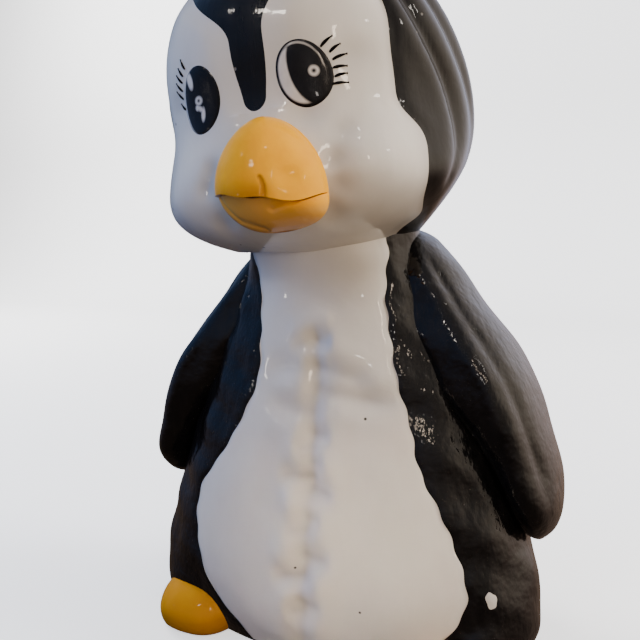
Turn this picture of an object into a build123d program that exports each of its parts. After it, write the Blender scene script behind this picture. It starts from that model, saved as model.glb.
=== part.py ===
"""Penguin figurine in glazed earthenware: hollow slip castings, luted together and glazed.

Frame: millimetres, +Z up, the figure faces -Y, the origin is on the base under the body's axis.
"""
from build123d import *
import os

# Body casting: a flattened pear that stands on its own floor
BODY_HEIGHT = 126.0
BODY_HALF_WIDTH = 65.0
BODY_FRONT_DEPTH = 31.0
BODY_BACK_DEPTH = 45.0
BODY_FORWARD = 8.0
WALL = 4.5
FLOOR = 4.0
VENT_DIAMETER = 14.0

# Head casting: wide cheeks, a waist at the eyes, a brow that overhangs, tilted to its right
HEAD_HEIGHT = 96.0
HEAD_HALF_WIDTH = 47.5
HEAD_FRONT_DEPTH = 47.0
HEAD_BACK_DEPTH = 42.0
HEAD_FORWARD = 16.0
HEAD_SINK = 5.0
HEAD_TILT = 5.5

# White panels stand a little proud of the black coat and hood
BIB_HALF_WIDTH = 44.5
BIB_RELIEF = 1.0
MASK_HALF_WIDTH = 42.0
MASK_RELIEF = 0.8

# Belly seam: a soft groove down the front, with puckers that pull towards it from both sides
SEAM_SIDE = 2.5
SEAM_RADIUS = 4.0
SEAM_DEPTH = 1.2
PUCKER_HALF_LENGTH = 11.0
PUCKER_HALF_HEIGHT = 4.5
PUCKER_HALF_DEPTH = 4.0
PUCKER_DEPTH = 1.0

# Pleats: shallow grooves down both sides of the hood, behind the face
PLEAT_RADIUS = 4.0
PLEAT_DEPTH = 0.9

# Flippers hang at the sides, and their free tips stand clear of the body
FLIPPER_HALF_THICKNESS = 10.0
FLIPPER_HALF_DEPTH = 22.0
FLIPPER_BACK = 2.0
LEFT_SHOULDER_RISE = 5.0
LEFT_FLIPPER_TIP_HEIGHT = 35.0
RIGHT_FLIPPER_TIP_HEIGHT = 40.0

# Feet: low domes that come out from under the coat
FOOT_HALF_WIDTH = 18.0
FOOT_HALF_LENGTH = 21.5
FOOT_HEIGHT = 12.5
FOOT_INSET = 20.0
FOOT_SETBACK = 18.0

# Beak: two rounded halves that meet at the mouth line, measured up from the head's foot
MOUTH_HEIGHT = 20.5
BEAK_SIDE = 5.5
UPPER_BEAK_HALF_WIDTH = 15.6
UPPER_BEAK_REACH = 13.5
UPPER_BEAK_RISE = 20.0
LOWER_BEAK_HALF_WIDTH = 14.8
LOWER_BEAK_REACH = 11.5
LOWER_BEAK_DROP = 10.0

# Eyes: shallow raised ovals, measured up from the head's foot
EYE_HALF_WIDTH = 7.6
EYE_HALF_HEIGHT = 9.0
EYE_HALF_DEPTH = 2.2
EYE_SINK = 0.8
EYE_SPREAD = 16.4
EYE_HEIGHT = 48.5

# Every cut and extrusion runs past the solid by this much
OVERRUN = 20.0

# Cross-sections from foot to top: height, half width, front depth, back depth, forward
BODY_SHARES = (
    (0.00, 0.915, 0.874, 0.911, 1.00),
    (0.10, 1.000, 1.000, 0.978, 1.00),
    (0.30, 0.950, 0.987, 1.000, 1.00),
    (0.555, 0.775, 0.839, 0.882, 0.90),
    (0.79, 0.577, 0.694, 0.689, 0.75),
    (0.95, 0.457, 0.606, 0.582, 0.65),
    (1.00, 0.436, 0.594, 0.556, 0.62),
)
HEAD_SHARES = (
    (0.000, 0.526, 0.464, 0.524, 0.13),
    (0.042, 0.547, 0.474, 0.571, 0.19),
    (0.083, 0.659, 0.604, 0.690, 0.50),
    (0.167, 0.882, 0.681, 0.905, 1.00),
    (0.292, 0.989, 0.926, 1.000, 0.50),
    (0.417, 1.000, 1.000, 0.976, 0.06),
    (0.573, 0.979, 0.968, 0.952, 0.16),
    (0.740, 0.874, 0.872, 0.857, 0.38),
    (0.885, 0.653, 0.638, 0.619, 0.47),
    (0.969, 0.368, 0.345, 0.405, 0.41),
    (0.993, 0.168, 0.162, 0.190, 0.41),
    (1.000, 0.020, 0.020, 0.020, 0.41),
)
# Flipper cross-sections from tip to shoulder: height, reach, half thickness, half depth
FLIPPER_SHARES = (
    (0.000, 0.999, 0.20, 0.27),
    (0.100, 0.985, 0.70, 0.77),
    (0.289, 0.921, 0.90, 1.00),
    (0.600, 0.735, 1.00, 1.00),
    (0.785, 0.548, 0.93, 0.76),
    (0.905, 0.447, 0.80, 0.60),
    (1.000, 0.369, 0.50, 0.38),
)
# Heights of the seam's course up the body, and of the puckers on the figure's left and right
SEAM_SHARES = (0.05, 0.12, 0.25, 0.40, 0.55, 0.70, 0.80, 0.88)
LEFT_PUCKER_SHARES = (0.286, 0.432, 0.567, 0.675, 0.722, 0.798)
RIGHT_PUCKER_SHARES = (0.238, 0.345, 0.472, 0.619)
# Pleats: turn from the front, in degrees, on the head's cross-sections between these two
PLEAT_SECTIONS = slice(4, 8)
PLEAT_TURNS = ((81, 74, 67, 61), (98, 92, 85, 79))
# Edge of the bib on one side, from its lowest point up: half width, height of the body
BIB_EDGE_SHARES = (
    (0.50, 0.040), (0.72, 0.080), (0.90, 0.160), (0.99, 0.250), (1.00, 0.300), (0.93, 0.365),
    (0.81, 0.445), (0.685, 0.524), (0.578, 0.611), (0.495, 0.700), (0.47, 0.790), (0.46, 0.870),
)
# Edge of the face mask on one side, from the chin up to the brow: half width, height of the head
CHEEK_EDGE_SHARES = (
    (0.600, 0.058), (0.810, 0.106), (0.905, 0.145), (0.976, 0.195), (1.000, 0.271), (0.955, 0.353),
    (0.875, 0.410), (0.855, 0.468), (0.855, 0.573), (0.840, 0.669), (0.780, 0.746), (0.640, 0.803),
)
BROW_PEAK_SHARES = (0.43, 0.822)
# Edge of the dark blaze down the forehead on one side, from the brow down to its round end
BLAZE_EDGE_SHARES = ((0.25, 0.714), (0.155, 0.621), (0.125, 0.535), (0.100, 0.473))
BLAZE_END_SHARE = 0.445
# The hollow of the head is the head's own shape, drawn in about a point at this height
CAVITY_CENTRE_SHARE = 0.25


def section(half_width, front, back, height, forward):
    """One closed cross-section: a half ellipse in front and another behind."""
    front_arc = EllipticalCenterArc((0, -forward), half_width, front, 180, arc_size=180)
    back_arc = EllipticalCenterArc((0, -forward), half_width, back, 0, arc_size=180)
    return Pos(0, 0, height) * make_face(front_arc + back_arc)


def stack(shares, height, half_width, front, back, forward, inset=0.0):
    """Solid through cross-sections, with every section drawn in by the inset."""
    return loft([
        section(half_width * w - inset, front * f - inset, back * b - inset, height * h, forward * y)
        for h, w, f, b, y in shares
    ])


def below(height):
    """A slab that holds everything under a height."""
    span = BODY_HALF_WIDTH + OVERRUN
    depth = HEAD_HEIGHT + OVERRUN
    return Pos(0, 0, height - depth / 2) * Box(2 * span, 2 * span, depth)


def ellipsoid(half_x, half_y, half_z):
    """An ellipsoid about the origin."""
    return scale(Sphere(1), by=(half_x, half_y, half_z))


def largest(shape):
    """The largest solid of a shape, without the crumbs of a cut."""
    return max(shape.solids(), key=lambda solid: solid.volume)


def panel_cutter(points, bottom, top, depth):
    """A prism, open to the front, inside an outline that is the same on both sides."""
    right = Spline([bottom, *points, top], tangents=[(1, 0), (0, 1)], tangent_scalars=[1, 1])
    close = Line(top, (0, top[1]))
    half = make_face(right + close + Line((0, top[1]), bottom))
    outline = half + mirror(half, Plane.YZ)
    return Rot(90, 0, 0) * extrude(outline, depth)


def mask_cutter(depth):
    """The prism of the face: heart-shaped, with the blaze left out of its middle."""
    cheek = [(MASK_HALF_WIDTH * x, HEAD_HEIGHT * z) for x, z in CHEEK_EDGE_SHARES]
    blaze = [(MASK_HALF_WIDTH * x, HEAD_HEIGHT * z) for x, z in BLAZE_EDGE_SHARES]
    peak = (MASK_HALF_WIDTH * BROW_PEAK_SHARES[0], HEAD_HEIGHT * BROW_PEAK_SHARES[1])
    chin = (0, -OVERRUN)
    jaw = (cheek[0][0], -OVERRUN)
    blaze_end = (0, HEAD_HEIGHT * BLAZE_END_SHARE)
    side = Spline([*cheek, peak], tangents=[(1, 1), (-1, 0)])
    inner = Spline([peak, *blaze, blaze_end], tangents=[(-1, 0), (-1, 0)])
    half = make_face(
        Line(chin, jaw) + Line(jaw, cheek[0]) + side + inner + Line(blaze_end, chin)
    )
    outline = half + mirror(half, Plane.YZ)
    return Rot(90, 0, 0) * extrude(outline, depth)


def on_neck(shape):
    """Sets a shape from the head's own frame on the neck, tilted to the figure's right."""
    return Pos(0, 0, BODY_HEIGHT - HEAD_SINK) * Rot(0, -HEAD_TILT, 0) * shape


def groove(points, directions, radius, depth):
    """A round bar along a surface, sunk to a depth and run out of it at both ends."""
    lifts = [radius] + [radius - depth] * (len(points) - 2) + [radius]
    course = Spline([p + d * lift for p, d, lift in zip(points, directions, lifts)])
    return sweep(Plane(course @ 0, z_dir=course % 0) * Circle(radius), path=course)


def seam_cutters(body):
    """The groove down the belly, and the puckers at its sides."""
    places = [front_of(body, SEAM_SIDE, BODY_HEIGHT * share) for share in SEAM_SHARES]
    cutters = [groove([p for p, _ in places], [n for _, n in places], SEAM_RADIUS, SEAM_DEPTH)]
    dent = ellipsoid(PUCKER_HALF_LENGTH, PUCKER_HALF_HEIGHT, PUCKER_HALF_DEPTH)
    for side, shares in ((1, LEFT_PUCKER_SHARES), (-1, RIGHT_PUCKER_SHARES)):
        for share in shares:
            x = SEAM_SIDE + side * PUCKER_HALF_LENGTH / 2
            point, normal = front_of(body, x, BODY_HEIGHT * share)
            origin = point + normal * (PUCKER_HALF_DEPTH - PUCKER_DEPTH)
            cutters.append(Plane(origin=origin, x_dir=(1, 0, 0), z_dir=normal).location * dent)
    return cutters


def pleat_cutters():
    """Grooves down both sides of the hood, through points on the head's cross-sections."""
    cutters = []
    for turns in PLEAT_TURNS:
        points = []
        directions = []
        for turn, (h, w, f, b, y) in zip(turns, HEAD_SHARES[PLEAT_SECTIONS]):
            depth = HEAD_FRONT_DEPTH * f if turn < 90 else HEAD_BACK_DEPTH * b
            across = Vector(0, -1, 0).rotate(Axis.Z, turn)
            point = Vector(across.X * HEAD_HALF_WIDTH * w, across.Y * depth - HEAD_FORWARD * y, HEAD_HEIGHT * h)
            points.append(point)
            directions.append(Vector(across.X * depth, across.Y * HEAD_HALF_WIDTH * w, 0).normalized())
        bar = groove(points, directions, PLEAT_RADIUS, PLEAT_DEPTH)
        cutters += [bar, mirror(bar, Plane.YZ)]
    return cutters


def make_body():
    """The body casting as its two glaze fields, with the solid that other pieces seat on."""
    sizes = (BODY_SHARES, BODY_HEIGHT, BODY_HALF_WIDTH)
    proud_front = BODY_FRONT_DEPTH + BIB_RELIEF
    outer = stack(*sizes, BODY_FRONT_DEPTH, BODY_BACK_DEPTH, BODY_FORWARD)
    proud = stack(*sizes, proud_front, BODY_BACK_DEPTH, BODY_FORWARD)
    cavity = stack(*sizes, BODY_FRONT_DEPTH, BODY_BACK_DEPTH, BODY_FORWARD, WALL) - below(FLOOR)
    edge = [(BIB_HALF_WIDTH * x, BODY_HEIGHT * z) for x, z in BIB_EDGE_SHARES]
    top = (edge[-1][0], BODY_HEIGHT + OVERRUN)
    bib = panel_cutter(edge, (0, FLOOR), top, BODY_FRONT_DEPTH + BODY_FORWARD + OVERRUN)
    vent = Cylinder(VENT_DIAMETER / 2, 2 * FLOOR + OVERRUN)
    belly = ((proud - cavity) & bib) - seam_cutters(proud)
    coat = outer - cavity - bib - vent
    return {"belly": largest(belly), "coat": largest(coat)}, outer + (proud & bib)


def make_head():
    """The head casting as its two glaze fields, with the solid that other pieces seat on."""
    sizes = (HEAD_HALF_WIDTH, HEAD_FRONT_DEPTH, HEAD_BACK_DEPTH, HEAD_FORWARD)
    proud_width = HEAD_HALF_WIDTH + MASK_RELIEF
    proud_front = HEAD_FRONT_DEPTH + MASK_RELIEF
    outer = stack(HEAD_SHARES, HEAD_HEIGHT, *sizes)
    proud = stack(HEAD_SHARES, HEAD_HEIGHT, proud_width, proud_front, HEAD_BACK_DEPTH, HEAD_FORWARD)
    shrink = WALL / HEAD_HALF_WIDTH
    centre = (0, -HEAD_FORWARD / 2, HEAD_HEIGHT * CAVITY_CENTRE_SHARE)
    cavity = Pos(*(shrink * place for place in centre)) * scale(outer, by=1 - shrink)
    mask = Pos(0, -HEAD_FORWARD, 0) * mask_cutter(HEAD_FRONT_DEPTH + OVERRUN)
    face = on_neck((proud - cavity) & mask) - below(BODY_HEIGHT)
    hood = on_neck(outer - cavity - mask - pleat_cutters()) - below(BODY_HEIGHT)
    return {"face": largest(face), "hood": largest(hood)}, proud


def front_of(solid, x, z):
    """The foremost point of a solid on a line from the front, and its outward normal."""
    line = Axis((x, -HEAD_HEIGHT, z), (0, 1, 0))
    hits = [hit for face in solid.faces() for hit in face.find_intersection_points(line)]
    return min(hits, key=lambda hit: hit[0].Y)


def make_beak(head):
    """Upper and lower beak, each a part of an ellipsoid, cut to the face that carries them."""
    seat, _ = front_of(head, BEAK_SIDE, MOUTH_HEIGHT)
    place = Pos(BEAK_SIDE, seat.Y, MOUTH_HEIGHT)
    half_space = Box(HEAD_HEIGHT, HEAD_HEIGHT, HEAD_HEIGHT)
    above = Pos(0, 0, HEAD_HEIGHT / 2) * half_space
    under = Pos(0, 0, -HEAD_HEIGHT / 2) * half_space
    upper = ellipsoid(UPPER_BEAK_HALF_WIDTH, UPPER_BEAK_REACH, UPPER_BEAK_RISE) & above
    lower = ellipsoid(LOWER_BEAK_HALF_WIDTH, LOWER_BEAK_REACH, LOWER_BEAK_DROP) & under
    return {
        "upper_beak": on_neck(largest(place * upper - head)),
        "lower_beak": on_neck(largest(place * lower - head)),
    }


def make_eyes(head):
    """Raised ovals, each square to the face where it sits."""
    eyes = {}
    for name, side in (("left_eye", 1), ("right_eye", -1)):
        point, normal = front_of(head, side * EYE_SPREAD, EYE_HEIGHT)
        seat = Plane(origin=point - normal * EYE_SINK, x_dir=normal.cross(Vector(0, 0, 1)), z_dir=normal)
        dome = seat.location * ellipsoid(EYE_HALF_WIDTH, EYE_HALF_HEIGHT, EYE_HALF_DEPTH)
        eyes[name] = on_neck(largest(dome - head))
    return eyes


def make_flipper(side, tip_height, shoulder_rise, body, head):
    """One flipper, lofted from its tip to the shoulder and cut to the body and head it rests on."""
    rise = BODY_HEIGHT + shoulder_rise - tip_height
    sections = [
        Pos(side * BODY_HALF_WIDTH * reach, FLIPPER_BACK, tip_height + rise * h)
        * Ellipse(FLIPPER_HALF_THICKNESS * thick, FLIPPER_HALF_DEPTH * deep)
        for h, reach, thick, deep in FLIPPER_SHARES
    ]
    return largest(loft(sections) - body - on_neck(head))


def make_foot(side, body):
    """One foot, the half of an ellipsoid that stands on the ground outside the body."""
    dome = ellipsoid(FOOT_HALF_WIDTH, FOOT_HALF_LENGTH, FOOT_HEIGHT)
    spread = BODY_HALF_WIDTH - FOOT_INSET
    forward = BODY_FRONT_DEPTH + BODY_FORWARD - FOOT_SETBACK
    placed = Pos(side * spread, -forward, 0) * dome
    return largest(placed - below(0) - body)


def main():
    """Builds every piece and writes one STEP file for each."""
    pieces, body = make_body()
    head_pieces, head = make_head()
    pieces.update(head_pieces)
    pieces.update(make_beak(head))
    pieces.update(make_eyes(head))
    pieces["left_flipper"] = make_flipper(1, LEFT_FLIPPER_TIP_HEIGHT, LEFT_SHOULDER_RISE, body, head)
    pieces["right_flipper"] = make_flipper(-1, RIGHT_FLIPPER_TIP_HEIGHT, 0, body, head)
    pieces["left_foot"] = make_foot(1, body)
    pieces["right_foot"] = make_foot(-1, body)
    os.makedirs("parts", exist_ok=True)
    for name, solid in pieces.items():
        export_step(solid, f"parts/{name}.step")


main()
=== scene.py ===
"""Dressed model of a hollow, slip-cast and glazed earthenware penguin figurine.

Lengths in the tables and sizes are millimetres in the figure's own frame: +Z up, facing -Y, and +X
on the figure's own left. Meshes are written in metres.
"""
import logging
import math
from dataclasses import dataclass, field
from enum import Enum
from typing import Callable, Sequence

import bpy
import numpy as np
from mathutils import Matrix, Vector


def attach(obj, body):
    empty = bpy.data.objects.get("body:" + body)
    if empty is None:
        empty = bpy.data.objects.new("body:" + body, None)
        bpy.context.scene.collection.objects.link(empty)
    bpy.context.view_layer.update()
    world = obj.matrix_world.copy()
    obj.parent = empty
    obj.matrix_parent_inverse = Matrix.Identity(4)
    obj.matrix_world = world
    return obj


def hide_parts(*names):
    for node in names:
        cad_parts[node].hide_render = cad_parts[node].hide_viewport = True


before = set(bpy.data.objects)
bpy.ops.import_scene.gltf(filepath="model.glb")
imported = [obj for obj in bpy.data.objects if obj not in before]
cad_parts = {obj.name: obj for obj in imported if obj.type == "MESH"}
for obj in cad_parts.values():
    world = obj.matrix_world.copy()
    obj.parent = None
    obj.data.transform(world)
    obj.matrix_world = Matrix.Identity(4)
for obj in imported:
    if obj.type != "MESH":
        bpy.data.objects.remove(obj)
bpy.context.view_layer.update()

LOG = logging.getLogger("penguin")
MM = 0.001
FULL_TURN = 2 * math.pi
QUARTER = math.pi / 2
Array = np.ndarray
Curve = Callable[[Array], Array]
Surface = Callable[[Array, Array], Array]
Pair = tuple[float, float]
Triple = tuple[float, float, float]


class Side(Enum):
    """The figure's own sides; the value is the sign of X there."""

    LEFT = 1
    RIGHT = -1

    def node(self, piece: str) -> str:
        """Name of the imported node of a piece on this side."""
        return f"{self.name.lower()}_{piece}"


class Slot(Enum):
    """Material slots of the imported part."""

    BLACK = "black_glaze"
    WHITE = "white_glaze"
    YELLOW = "yellow_glaze"
    AMBER = "amber_glaze"
    EYE = "eye_glaze"


# numbers

def spline(xs: Sequence[float], ys: Sequence[float]) -> Curve:
    """Natural cubic spline through points.

    Args:
        xs: Rising places of the points.
        ys: Values at the points.

    Returns:
        A function of an array of places, held level past its ends.
    """
    x = np.asarray(xs, float)
    y = np.asarray(ys, float)
    n = len(x)
    h = np.diff(x)
    a = np.eye(n)
    r = np.zeros(n)
    for i in range(1, n - 1):
        a[i, i - 1:i + 2] = h[i - 1], 2 * (h[i - 1] + h[i]), h[i]
        r[i] = 6 * ((y[i + 1] - y[i]) / h[i] - (y[i] - y[i - 1]) / h[i - 1])
    m = np.linalg.solve(a, r)

    def value(q: Array) -> Array:
        """The spline at some places.

        Args:
            q: The places.

        Returns:
            Values there.
        """
        q = np.clip(np.asarray(q, float), x[0], x[-1])
        i = np.clip(np.searchsorted(x, q, side="right") - 1, 0, n - 2)
        b, c = x[i + 1] - q, q - x[i]
        return (m[i] * b ** 3 + m[i + 1] * c ** 3) / (6 * h[i]) + (
            y[i] / h[i] - m[i] * h[i] / 6) * b + (y[i + 1] / h[i] - m[i + 1] * h[i] / 6) * c

    return value


def curve(table: Sequence[Pair]) -> Curve:
    """A spline through the rows of a table."""
    return spline(*zip(*table))


def bell(distance: Array, width: float) -> Array:
    """A smooth bump: one at no distance, nearly nothing at two widths."""
    return np.exp(-(distance / width) ** 2)


def step(value: Array, low: float, high: float) -> Array:
    """Rises smoothly from nought at the low end to one at the high end."""
    t = np.clip((value - low) / (high - low), 0, 1)
    return t * t * (3 - 2 * t)


def rounded(value: Array) -> Array:
    """Rises from nought to one like a quarter of a circle, over values from nought to one."""
    return np.sqrt(1 - (1 - np.clip(value, 0, 1)) ** 2)


def signed_power(value: Array, power: Array | float) -> Array:
    """Raises the sizes of values to a power and keeps their signs."""
    return np.sign(value) * np.abs(value) ** power


def to_line(x: Array, z: Array, start: Pair, end: Pair) -> tuple[Array, Array]:
    """Measures points against a straight stroke.

    Args:
        x: X of the points.
        z: Height of the points.
        start: Where the stroke starts.
        end: Where it ends.

    Returns:
        Distance from the stroke, and how far along it a point lies, from nought to one.
    """
    d = np.array([end[0] - start[0], end[1] - start[1]])
    t = np.clip(((x - start[0]) * d[0] + (z - start[1]) * d[1]) / (d @ d), 0, 1)
    return np.hypot(x - start[0] - t * d[0], z - start[1] - t * d[1]), t


def to_path(x: Array, z: Array, points: Sequence[Pair]) -> tuple[Array, Array]:
    """Measures points against a bent stroke.

    Args:
        x: X of the points.
        z: Height of the points.
        points: Corners of the stroke.

    Returns:
        Distance from the stroke, and how far along it the nearest place lies.
    """
    best = np.full(np.shape(x), np.inf)
    along = np.zeros(np.shape(x))
    for i, (a, b) in enumerate(zip(points[:-1], points[1:])):
        d, t = to_line(x, z, a, b)
        near = d < best
        best = np.where(near, d, best)
        along = np.where(near, (i + t) / (len(points) - 1), along)
    return best, along


# meshes

def deselect() -> None:
    """Clears the selection, so that operators act only on what comes next."""
    bpy.ops.object.select_all(action="DESELECT")


def pick(obj: bpy.types.Object) -> None:
    """Selects one object alone and makes it the active one.

    Args:
        obj: The object that operators act on next.
    """
    deselect()
    obj.select_set(True)
    bpy.context.view_layer.objects.active = obj


def points_of(obj: bpy.types.Object) -> Array:
    """Reads the points of a mesh.

    Args:
        obj: The object.

    Returns:
        One row for each point, in millimetres.
    """
    flat = np.empty(len(obj.data.vertices) * 3)
    obj.data.vertices.foreach_get("co", flat)
    return flat.reshape(-1, 3) / MM


def patch(name: str, columns: int, rows: int, surface: Surface) -> bpy.types.Object:
    """Lays a square grid over a surface.

    Args:
        name: The new object's name.
        columns: Faces across, along the surface's first value.
        rows: Faces up, along its second value.
        surface: Gives points in millimetres for values from nought to one.

    Returns:
        The new object.
    """
    deselect()
    bpy.ops.mesh.primitive_grid_add(x_subdivisions=columns, y_subdivisions=rows, size=2)
    obj = bpy.context.active_object
    obj.name = name
    flat = np.empty(len(obj.data.vertices) * 3)
    obj.data.vertices.foreach_get("co", flat)
    flat = flat.reshape(-1, 3)
    points = surface((flat[:, 0] + 1) / 2, (flat[:, 1] + 1) / 2) * MM
    obj.data.vertices.foreach_set("co", points.ravel())
    obj.data.update()
    return obj


def fan(rim: Surface, middle: Array) -> Surface:
    """Closes the open start of a surface.

    Args:
        rim: The surface, open where its second value is nought.
        middle: Point in the middle of the fan, as one row.

    Returns:
        The fan, from the rim to the middle.
    """
    def surface(u: Array, v: Array) -> Array:
        """Points from the rim to the middle."""
        edge = rim(u, np.zeros_like(v))
        return edge + (middle - edge) * v[..., None]

    return surface


def join(name: str, parts: Sequence[bpy.types.Object], merge: float = 0.02) -> bpy.types.Object:
    """Joins patches into one object, welds their shared edges and turns its faces outwards.

    Args:
        name: Name of the joined object and its mesh.
        parts: The patches.
        merge: Points closer than this are welded, in millimetres.

    Returns:
        The joined object.
    """
    pick(parts[0])
    for obj in parts[1:]:
        obj.select_set(True)
    if len(parts) > 1:
        bpy.ops.object.join()
    obj = bpy.context.active_object
    obj.name = obj.data.name = name
    bpy.ops.object.mode_set(mode="EDIT")
    bpy.ops.mesh.select_all(action="SELECT")
    bpy.ops.mesh.remove_doubles(threshold=merge * MM)
    bpy.ops.mesh.normals_make_consistent(inside=False)
    bpy.ops.object.mode_set(mode="OBJECT")
    return obj


def cut_below(obj: bpy.types.Object, height: float) -> None:
    """Cuts an object along a level plane and keeps what is above it.

    Args:
        obj: The object.
        height: Height of the plane.
    """
    pick(obj)
    bpy.ops.object.mode_set(mode="EDIT")
    bpy.ops.mesh.select_all(action="SELECT")
    bpy.ops.mesh.bisect(plane_co=(0, 0, height * MM), plane_no=(0, 0, 1), clear_inner=True)
    bpy.ops.object.mode_set(mode="OBJECT")


def thicken(obj: bpy.types.Object, wall: float) -> None:
    """Gives a skin its wall, inwards from the shown face.

    Args:
        obj: The open skin.
        wall: Thickness of the wall.
    """
    pick(obj)
    mod = obj.modifiers.new("wall", "SOLIDIFY")
    mod.thickness = wall * MM
    mod.offset = -1
    mod.use_rim = True
    bpy.ops.object.modifier_apply(modifier=mod.name)


def smooth(obj: bpy.types.Object, angle: float = 60) -> None:
    """Shades an object smooth, with edges sharper than the angle in degrees kept."""
    pick(obj)
    bpy.ops.object.shade_smooth_by_angle(angle=math.radians(angle))


def lies_outward(obj: bpy.types.Object, middle: Sequence[float]) -> None:
    """Turns an open skin round where its faces look towards a point inside it.

    Args:
        obj: The open skin.
        middle: A point inside the casting.
    """
    mesh = obj.data
    centre = Vector(middle) * MM
    total = sum((p.center - centre).normalized().dot(p.normal) * p.area for p in mesh.polygons)
    if total < 0:
        mesh.flip_normals()


# finishes

def linear(code: str) -> tuple[float, float, float, float]:
    """Turns an sRGB hex colour into linear light."""
    parts = [int(code[i:i + 2], 16) / 255 for i in (1, 3, 5)]
    return (*[c / 12.92 if c <= 0.04045 else ((c + 0.055) / 1.055) ** 2.4 for c in parts], 1.0)


def add(tree: bpy.types.NodeTree, kind: str, settings: dict | None = None,
        links: dict | None = None) -> bpy.types.Node:
    """Adds one node.

    Args:
        tree: The node tree.
        kind: Node type without its ShaderNode prefix.
        settings: Attributes by name, and input values by socket name or index.
        links: Output sockets to link in, by input socket name or index.

    Returns:
        The new node.
    """
    node = tree.nodes.new("ShaderNode" + kind)
    for key, value in (settings or {}).items():
        if isinstance(key, str) and hasattr(node, key):
            setattr(node, key, value)
        else:
            node.inputs[key].default_value = value
    for key, socket in (links or {}).items():
        tree.links.new(socket, node.inputs[key])
    return node


def empty_material(name: str) -> bpy.types.Material:
    """Starts a material with no nodes.

    Args:
        name: What the real stuff is.

    Returns:
        The new material.
    """
    mat = bpy.data.materials.new(name)
    mat.use_nodes = True
    mat.node_tree.nodes.clear()
    return mat


@dataclass(frozen=True)
class Glaze:
    """A fired glaze over earthenware: a coloured coat of glass with brush and kiln marks.

    The colour pools in soft clouds and where the piece's attribute marks it, partly as glaze that pools in
    hollows and partly as painted shade in creases, dents and under things; it thins on the brush ridges,
    pinholes and specks stay from the firing, and the top is a clear gloss with a faint orange-peel. Sizes
    are in millimetres; the size of a speck is a share of the spacing, and the ranges are of the noise that
    they map.
    """

    name: str
    colour: str
    pooled_and_shaded: str
    thin: str
    speck: str
    roughness: float
    streak_mm: Triple
    peel_mm: float
    peel_depth: float
    speck_mm: float
    speck_size: float
    coat: float = 1.0
    under_gloss: float = 0.5
    cloud_mm: float = 26.0
    cloud_share: float = 0.5
    streak_range: Pair = (0.35, 0.7)
    pooling_and_shade_range: Pair = (0.28, 1.2)
    speck_rarity: float = 0.8
    streak_ridge: float = 0.6
    pinhole_depth: float = 0.7

    def make(self) -> bpy.types.Material:
        """Makes the material.

        Returns:
            The new material, which reads Object coordinates and its piece's attribute for pooled glaze and
            painted shade.
        """
        mat = empty_material(self.name)
        tree = mat.node_tree
        where = add(tree, "TexCoord").outputs["Object"]
        pool_and_shade = add(tree, "Attribute", {"attribute_name": "pool_and_shade"}).outputs["Fac"]
        # Brush streaks, drawn out along the stroke
        scale = tuple(1 / (s * MM) for s in self.streak_mm)
        stretch = add(tree, "Mapping", {"Scale": scale}, {"Vector": where})
        streak = add(tree, "TexNoise", {"Scale": 1.0, "Detail": 4.0, "Roughness": 0.6},
                     {"Vector": stretch.outputs[0]}).outputs["Fac"]
        tone = add(tree, "MapRange", dict(zip((1, 2), self.streak_range)), {0: streak})
        base = add(tree, "Mix", {"data_type": "RGBA", 6: linear(self.colour), 7: linear(self.thin)},
                   {0: tone.outputs[0]})
        # Glaze that pools in hollows, in soft clouds, and painted shade where the piece's attribute marks it
        cloud = add(tree, "TexNoise", {"Scale": 1 / (self.cloud_mm * MM), "Detail": 2.0}, {"Vector": where})
        pooling_and_shade = add(tree, "Math", {"operation": "MULTIPLY_ADD", 1: self.cloud_share, "use_clamp": True},
                   {0: cloud.outputs["Fac"], 2: pool_and_shade})
        pooling_and_shade = add(tree, "MapRange", {**dict(zip((1, 2), self.pooling_and_shade_range)), "clamp": True},
                   {0: pooling_and_shade.outputs[0]})
        deep = add(tree, "Mix", {"data_type": "RGBA", 7: linear(self.pooled_and_shaded)},
                   {0: pooling_and_shade.outputs[0], 6: base.outputs[2]})
        # Specks of iron and pinholes from the firing
        cells = add(tree, "TexVoronoi", {"Scale": 1 / (self.speck_mm * MM), "Randomness": 1.0},
                    {"Vector": where})
        dot = add(tree, "MapRange", {1: self.speck_size, 2: self.speck_size * 0.6, "clamp": True},
                  {0: cells.outputs["Distance"]})
        drawn = add(tree, "SeparateColor", {}, {0: cells.outputs["Color"]})
        few = add(tree, "Math", {"operation": "GREATER_THAN", 1: self.speck_rarity}, {0: drawn.outputs[0]})
        spot = add(tree, "Math", {"operation": "MULTIPLY"}, {0: dot.outputs[0], 1: few.outputs[0]}).outputs[0]
        colour = add(tree, "Mix", {"data_type": "RGBA", 7: linear(self.speck)}, {0: spot, 6: deep.outputs[2]})
        # Orange-peel and brush ridges under the gloss
        peel = add(tree, "TexNoise", {"Scale": 1 / (self.peel_mm * MM), "Detail": 2.0}, {"Vector": where})
        ridge = add(tree, "Math", {"operation": "MULTIPLY_ADD", 1: self.streak_ridge},
                    {0: streak, 2: peel.outputs["Fac"]})
        height = add(tree, "Math", {"operation": "MULTIPLY_ADD", 1: -self.pinhole_depth},
                     {0: spot, 2: ridge.outputs[0]})
        bump = add(tree, "Bump", {"Strength": 1.0, "Distance": self.peel_depth * MM},
                   {"Height": height.outputs[0]})
        shader = add(tree, "BsdfPrincipled", {
            "Roughness": self.roughness, "IOR": 1.5, "Coat Weight": self.coat, "Coat Roughness": 0.03,
            "Coat IOR": 1.52, "Specular IOR Level": self.under_gloss,
        }, {"Base Color": colour.outputs[2], "Normal": bump.outputs[0], "Coat Normal": bump.outputs[0]})
        add(tree, "OutputMaterial", {}, {0: shader.outputs[0]})
        return mat


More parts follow.
